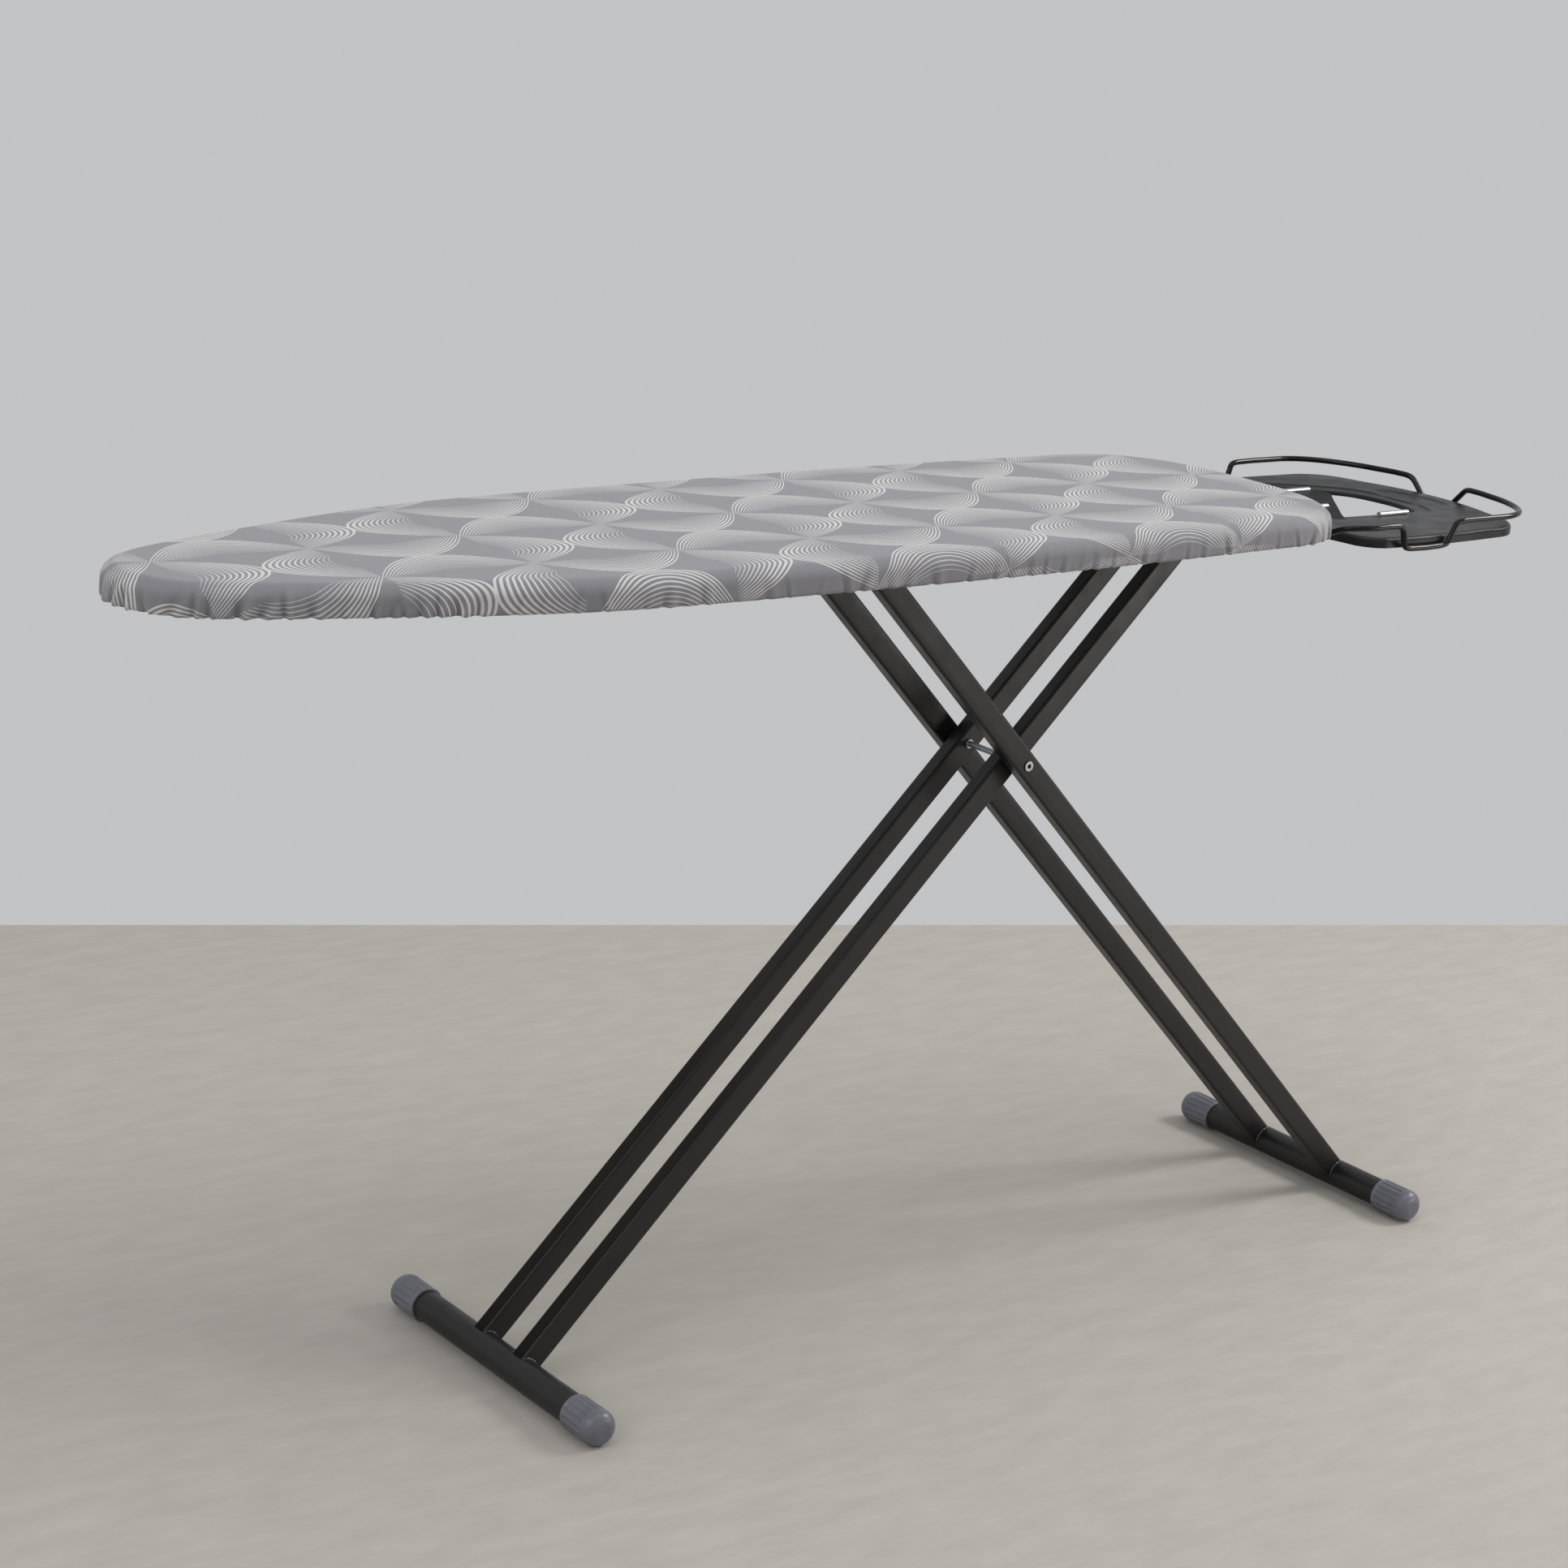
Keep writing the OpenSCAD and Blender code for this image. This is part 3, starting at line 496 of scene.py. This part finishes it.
section = cover_section()
lengths = [0.0]
for (ax, az), (bx, bz) in zip(section[::-1], section[::-1][1:]):
    lengths.append(lengths[-1] + math.hypot(bx - ax, bz - az))
drop = lengths[::-1]
gather_z = top_z - SKIRT_TOP
height_share = [min(1.0, max(0.0, (gather_z - z) / (gather_z - hem_z))) for _, z in section]
folds, creases = fold_rows(height_share)
rings, flat, crease = [], [], []
shoulder_line = edge - edge_out * SHOULDER
for (offset, z), down, push, deep, share in zip(section, drop, folds, creases, height_share):
    ride_up = 0.35 * push * share**4
    plan = edge + edge_out * (offset + push)[:, None]
    rings.append(np.column_stack([plan, z - ride_up]))
    flat.append(shoulder_line + edge_out * down)
    crease.append(np.column_stack([deep, deep]))
spine_x = np.clip(edge[:, 0], nose_x + 75 * MM, heel_x - 130 * MM)
spine = np.column_stack([spine_x, np.zeros(AROUND)])
for k in range(1, TOP_ROWS + 1):
    plan = shoulder_line + (spine - shoulder_line) * k / TOP_ROWS
    rings.append(np.column_stack([plan, np.full(AROUND, top_z)]))
    flat.append(plan)
    crease.append(np.zeros((AROUND, 2)))
cover = piece("board_cover", np.vstack(rings), ring_faces(len(rings), AROUND), cover_cloth,
              "board", uv={"unwrapped": np.vstack(flat), "crease": np.vstack(crease)})
weld_spine(cover.data)
thick = cover.modifiers.new("cloth", "SOLIDIFY")
thick.thickness = CLOTH
thick.offset = -1
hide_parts("cover")

elastic_edge = edge - edge_out * (LIP - 1.2 * MM)
wobble = np.sin(edge_run * 2 * math.pi / edge_length * 160)
elastic_path = np.column_stack([elastic_edge, hem_z + 1.9 * MM + 0.25 * MM * wobble])
elastic_verts, elastic_faces = tube(elastic_path, 1.7 * MM, ELASTIC_SIDES, closed=True, flatten=0.4)
elastic_uv = np.column_stack([np.repeat(edge_run, ELASTIC_SIDES),
                              np.tile(np.arange(ELASTIC_SIDES) / ELASTIC_SIDES, AROUND)])
elastic = piece("hem_elastic_band", elastic_verts, elastic_faces, elastic_cord, "board",
                uv={"unwrapped": elastic_uv})
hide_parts("hem_elastic")


def felt_pad():
    """Felt pad, rounded over at its top edge where the cover pulls it down."""
    round_r = SHOULDER - (top_z - pad_hi.z)
    middle = (-SHOULDER, top_z - SHOULDER)
    low = math.degrees(math.asin((pad_lo.z + 0.6 * MM - middle[1]) / round_r))
    section = [(-0.02, pad_lo.z), (-7 * MM, pad_lo.z), (-3.4 * MM, pad_lo.z)]
    section += arc_points(middle, round_r, low, 90, 9)
    around = AROUND // 2
    start, end = shoulder_line[::2], spine[::2]
    rings = [np.column_stack([edge[::2] + edge_out[::2] * offset, np.full(around, z)])
             for offset, z in section]
    inwards = [(k, pad_hi.z) for k in range(1, PAD_ROWS + 1)]
    outwards = [(k, pad_lo.z) for k in range(PAD_ROWS, 0, -1)]
    for k, z in inwards + outwards:
        rings.append(np.column_stack([start + (end - start) * k / PAD_ROWS, np.full(around, z)]))
    obj = piece("felt_pad", np.vstack(rings), ring_faces(len(rings), around, closed=True),
                pad_felt, "board", edge_angle=50)
    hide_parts("pad")


felt_pad()

# ---------- iron rest: pan and rail ----------


def rest_pan():
    """Pressed pan: rolled outer edge, lipped cut-out, a stepped rim round it and a pressed oval."""
    sheet = 1.1 * MM
    skirt = pan_hi.z - pan_lo.z
    rolled = 4 * MM
    lip_r, lip_depth = 2 * MM, 4.5 * MM
    step_drop, oval_drop = 1.6 * MM, 1.2 * MM
    step_rows, flat_rows = 24, 28
    open_half, full_half = 60 * MM, 74 * MM
    top = {tuple(p) for p in face_points("rest_pan", pan_hi.z)}
    foot = {tuple(p) for p in face_points("rest_pan", pan_lo.z)}
    outer = np.array(sorted(top & foot))
    hole = np.array(sorted(top - foot))
    hole = hole[hole[:, 0] > pan_lo.x + 0.02]
    middle = hole.mean(0)
    around = 720
    outer = closed_curve(round_middle(outer, outer.mean(0)), around)
    hole = closed_curve(round_middle(hole, middle), around * 2)

    outer_angle = np.arctan2(outer[:, 1] - middle[1], outer[:, 0] - middle[0])
    hole_angle = np.arctan2(hole[:, 1] - middle[1], hole[:, 0] - middle[0])
    order = np.argsort(hole_angle)
    inner = np.column_stack([np.interp(outer_angle, hole_angle[order], hole[order, k],
                                       period=2 * math.pi) for k in (0, 1)])
    inner = smooth_closed(inner, 1.5 * MM)
    inner_out, outer_out = outward(inner), outward(outer)
    flat_edge = outer - outer_out * rolled

    def pressed(plan, from_hole):
        """Height of the pressing over the pan's flat top."""
        oval_x, oval_y = pan_hi.x - 40 * MM, -4 * MM
        oval = np.hypot((plan[:, 0] - oval_x) / (21 * MM), (plan[:, 1] - oval_y) / (50 * MM))
        rise = -step_drop * (1 - smooth_step(from_hole, 15 * MM, 19 * MM))
        rise -= oval_drop * (1 - smooth_step(oval, 0.86, 1.06))
        edge_gap = np.linalg.norm(plan - flat_edge, axis=1)
        return rise * smooth_step(edge_gap, 1 * MM, 7 * MM)

    rows = []
    lip_z = pan_hi.z - step_drop
    for offset, z in [(0, -lip_depth)] + arc_points((lip_r, -lip_r), lip_r, 180, 90, 6):
        rows.append(np.column_stack([inner + inner_out * offset, np.full(around, lip_z + z)]))
    start = inner + inner_out * lip_r
    span = np.linalg.norm(flat_edge - start, axis=1)
    room = np.minimum(22 * MM, span * 0.6)
    for k in range(1, step_rows + 1):
        plan = start + inner_out * (room * k / step_rows)[:, None]
        gap = lip_r + room * k / step_rows
        rows.append(np.column_stack([plan, pan_hi.z + pressed(plan, gap)]))
    near = start + inner_out * room[:, None]
    for k in range(1, flat_rows + 1):
        plan = near + (flat_edge - near) * k / flat_rows
        gap = lip_r + room + np.linalg.norm(plan - near, axis=1)
        rows.append(np.column_stack([plan, pan_hi.z + pressed(plan, gap)]))

    # The skirt is cut away on the side towards the board.
    beside_board = outer[:, 0] < pan_lo.x + 6 * MM
    cut_away = smooth_step(-np.abs(outer[:, 1]), -full_half, -open_half) * beside_board
    down = np.maximum(skirt * (1 - cut_away), rolled + sheet)
    for a in np.radians([20, 40, 60, 80, 90]):
        plan = outer - outer_out * rolled * (1 - math.sin(a))
        rows.append(np.column_stack([plan, np.full(around, pan_hi.z - rolled * (1 - math.cos(a)))]))
    for share in (0.5, 1.0):
        rows.append(np.column_stack([outer, pan_hi.z - rolled - (down - rolled) * share]))
    rows.append(np.column_stack([outer - outer_out * sheet, pan_hi.z - down]))
    rows.append(np.column_stack([outer - outer_out * sheet, np.full(around, pan_hi.z - rolled)]))
    obj = piece("pressed_pan", np.vstack(rows), ring_faces(len(rows), around), pan_enamel,
                "board", edge_angle=50)
    shell = obj.modifiers.new("sheet", "SOLIDIFY")
    shell.thickness = 0.5 * MM
    shell.offset = -1
    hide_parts("rest_pan")


rest_pan()


def centre_line(node):
    """Centre line of a CAD wire, walked ring by ring from one of its flat ends."""
    work = bmesh.new()
    work.from_mesh(frame["nodes"][node].data)
    bmesh.ops.remove_doubles(work, verts=work.verts, dist=0.01 * MM)
    work.normal_update()
    low = min(v.co.x for v in work.verts)
    caps = [f for f in work.faces if f.normal.x < -0.68 and f.calc_center_median().x < low + 5 * MM]
    seed = next(f for f in caps if f.calc_center_median().y > 0)
    ring = {v for f in caps if f.calc_center_median().y > 0 and f.normal.dot(seed.normal) > 0.99
            for v in f.verts}
    seen, line = set(ring), []
    while ring:
        line.append(sum((v.co for v in ring), Vector()) / len(ring))
        ring = {e.other_vert(v) for v in ring for e in v.link_edges} - seen
        seen |= ring
    work.free()
    return np.array(line)


def smooth_wire():
    """The rail's wire, with its bends rounded."""
    line = centre_line("rest_rail")
    run = np.concatenate([[0], np.cumsum(np.linalg.norm(np.diff(line, axis=0), axis=1))])
    count, blur = 1100, 2.4 * MM
    at = np.linspace(0, run[-1], count)
    path = np.column_stack([np.interp(at, run, line[:, k]) for k in range(3)])
    sigma = blur / (run[-1] / count)
    reach = int(4 * sigma) + 1
    weights = np.exp(-0.5 * (np.arange(-reach, reach + 1) / sigma) ** 2)
    weights /= weights.sum()
    before, after = 2 * path[:1] - path[reach:0:-1], 2 * path[-1:] - path[-2:-reach - 2:-1]
    padded = np.vstack([before, path, after])
    path = np.column_stack([np.convolve(padded[:, k], weights, "valid") for k in range(3)])
    wire_r, sides = 3 * MM, 20
    verts, faces = tube(path, wire_r, sides)
    obj = piece("wire_rail", verts, faces, rail_gloss, "board", edge_angle=60)
    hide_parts("rest_rail")


smooth_wire()

# ---------- foot caps and welds ----------


def foot_cap(node, body):
    """Lathed cap with broad shallow flutes, a thin rim at its mouth and a domed end."""
    lo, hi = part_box(node)
    outwards = 1 if hi.y > 0 else -1
    mouth, tip = (lo.y, hi.y) if outwards > 0 else (hi.y, lo.y)
    cap_r = (hi.z - lo.z) / 2
    centre = Vector(((lo.x + hi.x) / 2, 0, (lo.z + hi.z) / 2))
    bore = cap_r - 2.1 * MM
    dome = 11 * MM
    flutes, flute_depth, around = 16, 1.05 * MM, 256
    length = abs(tip - mouth)
    barrel = length - dome
    profile = [(bore, 6 * MM), (bore, 0.0), (cap_r - 0.7 * MM, 0.0), (cap_r - 0.15 * MM, 0.3 * MM),
               (cap_r, 0.9 * MM), (cap_r - 0.1 * MM, 1.9 * MM), (cap_r - 0.25 * MM, 2.2 * MM)]
    profile += [(cap_r - 0.25 * MM * (1 - k / 30), 2.2 * MM + (barrel - 2.2 * MM) * k / 30)
                for k in range(1, 31)]
    profile += [(cap_r - dome + dome * math.cos(a), barrel + dome * math.sin(a))
                for a in np.radians(np.linspace(6, 90, 15))]
    profile += [((cap_r - dome) * k / 4, length) for k in (3, 2, 1)]
    angles = np.arange(around) * 2 * math.pi / around
    away = np.abs((angles * flutes / (2 * math.pi) + 0.5) % 1 - 0.5) * 2 * math.pi * cap_r / flutes
    rows = []
    for r, along in profile:
        past = np.maximum(0, along - (barrel - 5 * MM))
        from_line = np.hypot(away, past)
        groove = 1 - smooth_step(from_line, 1.7 * MM, 2.9 * MM)
        groove = groove * smooth_step(np.full(around, along), 2.4 * MM, 4 * MM) * (r > bore + 1e-6)
        radius = r - flute_depth * groove * (along < barrel + 2 * MM)
        rows.append(np.column_stack([centre.x + radius * np.cos(angles),
                                     np.full(around, mouth + outwards * along),
                                     centre.z + radius * np.sin(angles)]))
    faces = ring_faces(len(rows), around)
    verts = np.vstack(rows + [[[centre.x, tip, centre.z]]])
    start = (len(rows) - 1) * around
    faces += [(start + k, start + (k + 1) % around, len(verts) - 1) for k in range(around)]
    obj = piece(node + "_fluted", verts, faces, cap_plastic, body, edge_angle=50)
    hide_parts(node)


for cap in ("nose_cap_near", "nose_cap_far"):
    foot_cap(cap, "inner_frame")
for cap in ("heel_cap_near", "heel_cap_far"):
    foot_cap(cap, "outer_frame")


def welds(name, foot_node, leg_nodes, body):
    """Weld beads where the flat sides of the legs meet the round foot tube."""
    lo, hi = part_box(foot_node)
    centre = Vector(((lo.x + hi.x) / 2, 0, (lo.z + hi.z) / 2))
    foot_r = (hi.z - lo.z) / 2
    lean = math.atan2(axle.z - centre.z, axle.x - centre.x)
    half = math.asin(min(1, 11 * MM / foot_r))
    dice = random.Random(5)
    verts, faces = np.zeros((0, 3)), []
    for leg in leg_nodes:
        leg_lo, leg_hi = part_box(leg)
        for side_y in (leg_lo.y, leg_hi.y):
            steps = np.linspace(-half, half, 46)
            ripple = 1 + 0.16 * np.sin(steps / half * 24 + dice.uniform(0, 6))
            ripple *= 1 + 0.22 * np.sin(steps / half * 3 + dice.uniform(0, 6))
            fade = np.sqrt(np.clip(1 - (steps / half) ** 4, 0.02, 1))
            path = np.column_stack([centre.x + foot_r * np.cos(lean + steps),
                                    np.full(len(steps), side_y),
                                    centre.z + foot_r * np.sin(lean + steps)])
            bead, bead_faces = tube(path, 1.9 * MM * ripple * fade, 12)
            faces += [tuple(i + len(verts) for i in f) for f in bead_faces]
            verts = np.vstack([verts, bead])
    piece(name, verts, faces, weld_gloss, body)


welds("inner_welds", "nose_foot_tube", ("inner_leg_near", "inner_leg_far"), "inner_frame")
welds("outer_welds", "heel_foot_tube", ("outer_leg_near", "outer_leg_far"), "outer_frame")

# ---------- plain parts: CAD shapes with softened edges ----------


def dressed(node, material, bevel):
    """The CAD shape of a node with its edges softened and its curves shaded smooth."""
    source = frame["nodes"][node]
    mesh = source.data.copy()
    mesh.name = node + "_dressed"
    work = bmesh.new()
    work.from_mesh(mesh)
    bmesh.ops.remove_doubles(work, verts=work.verts, dist=0.005 * MM)
    bmesh.ops.dissolve_limit(work, angle_limit=math.radians(0.5), verts=work.verts, edges=work.edges)
    bmesh.ops.recalc_face_normals(work, faces=work.faces)
    work.to_mesh(mesh)
    work.free()
    mesh.materials.clear()
    mesh.materials.append(material)
    mesh.shade_smooth()
    mesh.set_sharp_from_angle(angle=math.radians(35))
    obj = bpy.data.objects.new(node + "_dressed", mesh)
    scene.collection.objects.link(obj)
    if bevel:
        soft = obj.modifiers.new("edges", "BEVEL")
        soft.width = bevel
        soft.segments = 2
        soft.limit_method = "ANGLE"
        soft.angle_limit = math.radians(40)
        soft.harden_normals = True
    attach(obj, source["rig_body"])
    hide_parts(node)


PLAIN = (
    (leg_paint, "leg_paint", 0.0, ("inner_leg_near", "inner_leg_far", "outer_leg_near", "outer_leg_far")),
    (leg_paint_shaded, "leg_paint", 0.0, ("nose_foot_tube", "heel_foot_tube")),
    (black_steel, "black_steel", 0.25 * MM, ("rim_frame", "cross_brace_nose", "cross_brace_middle",
                                             "cross_brace_heel", "height_rack_near", "height_rack_far",
                                             "pivot_bracket_near", "pivot_bracket_far",
                                             "rest_arm_near", "rest_arm_far", "release_lever")),
    (pan_enamel_shaded, "pan_enamel", 0.3 * MM, ("rest_bridge",)),
    (deck_steel, "deck_steel", 0.0, ("deck_panel",)),
    (zinc, "zinc", 0.25 * MM, ("pivot_rod", "pivot_clips", "lever_pin", "scissor_axle", "axle_collars",
                               "slide_rod", "slide_clips", "heat_rests")),
    (zinc, "zinc", 0.0, ("lever_spring",)),
    (dark_plastic, "dark_plastic", 0.3 * MM, ("pivot_sleeve", "pivot_washers", "scissor_spacers",
                                              "inner_leg_plugs", "outer_leg_plugs")),
    (cap_plastic, "cap_plastic", 0.6 * MM, ("lever_grip",)),
    (pan_enamel, "pan_enamel", 0.25 * MM, ("rest_rivets",)),
)
for material, slot, bevel, nodes in PLAIN:
    for node in nodes:
        dressed(node, material, bevel)

# ---------- floor, light and camera ----------


def floor_material():
    """Pale, faintly streaked floor."""
    s = Shader("floor_look", Specular_IOR_Level=0.3)
    grain = s.spread(s.noise(14.0, 6, 0.6, (1, 3, 1)), 0.35, 0.65, 0, 1)
    tone = s.mix(grain, rgb(0.425, 0.4, 0.36), rgb(0.46, 0.435, 0.395))
    return s.finish(tone, s.spread(grain, 0, 1, 0.55, 0.7), s.bump(grain, 0.0004))


def floor():
    """Floor that ends a little way behind the board, where the plain backdrop begins."""
    middle = Vector((0.667, 0.934, 0))
    along = Vector((0.9023, -0.4310, 0)) * 7
    forwards = Vector((-0.4310, -0.9023, 0)) * 9
    left, right = middle - along, middle + along
    mesh = bpy.data.meshes.new("floor")
    mesh.from_pydata([left, left + forwards, right + forwards, right], [], [(0, 1, 2, 3)])
    mesh.materials.append(floor_material())
    obj = bpy.data.objects.new("floor", mesh)
    scene.collection.objects.link(obj)


floor()


def area_light(name, place, target, size, power, colour):
    """A soft rectangular light at a place, turned to the target."""
    data = bpy.data.lights.new(name, "AREA")
    data.shape = "RECTANGLE"
    data.size, data.size_y = size
    data.energy = power
    data.color = colour
    obj = bpy.data.objects.new(name, data)
    obj.location = place
    obj.rotation_euler = (Vector(target) - Vector(place)).to_track_quat("-Z", "Y").to_euler()
    scene.collection.objects.link(obj)


area_light("key", (2.7, -0.9, 2.3), (0.1, 0.1, 0.5), (1.0, 1.0), 52, (1.0, 0.99, 0.97))
area_light("overhead", (-0.2, -0.4, 3.4), (0, 0.1, 0), (2.4, 1.8), 24, (0.99, 0.99, 1.0))
area_light("fill", (-3.3, -0.5, 2.4), (0, 0.1, 0.5), (2.4, 2.0), 34, (0.97, 0.98, 1.0))
area_light("low panel", (1.9, -1.75, 0.5), (0.2, 0.3, 0.7), (1.0, 0.55), 9, (1.0, 0.95, 0.93))
world = bpy.data.worlds.new("studio")
world.use_nodes = True
backdrop = world.node_tree.nodes["Background"]
backdrop.inputs["Color"].default_value = rgb(0.975, 0.98, 1.0)
backdrop.inputs["Strength"].default_value = 0.56
scene.world = world
scene.view_settings.view_transform = "Standard"

CAMERA_PLACE = axle + Vector((-2.072708, -2.31646, 0.8227))
YAW, PITCH, ROLL = math.radians(38.29), math.radians(15.69), math.radians(4.03)
level_right = Vector((math.cos(YAW), -math.sin(YAW), 0))
level_up = Vector((math.sin(YAW) * math.sin(PITCH), math.cos(YAW) * math.sin(PITCH), math.cos(PITCH)))
ahead = Vector((math.sin(YAW) * math.cos(PITCH), math.cos(YAW) * math.cos(PITCH), -math.sin(PITCH)))
right_axis = math.cos(ROLL) * level_right + math.sin(ROLL) * level_up
up_axis = math.cos(ROLL) * level_up - math.sin(ROLL) * level_right
lens = bpy.data.cameras.new("camera")
lens.lens = 76.11
lens.sensor_width = 36
camera = bpy.data.objects.new("camera", lens)
facing = Matrix((right_axis, up_axis, -ahead)).transposed().to_4x4()
camera.matrix_world = Matrix.Translation(CAMERA_PLACE) @ facing
scene.collection.objects.link(camera)
scene.camera = camera
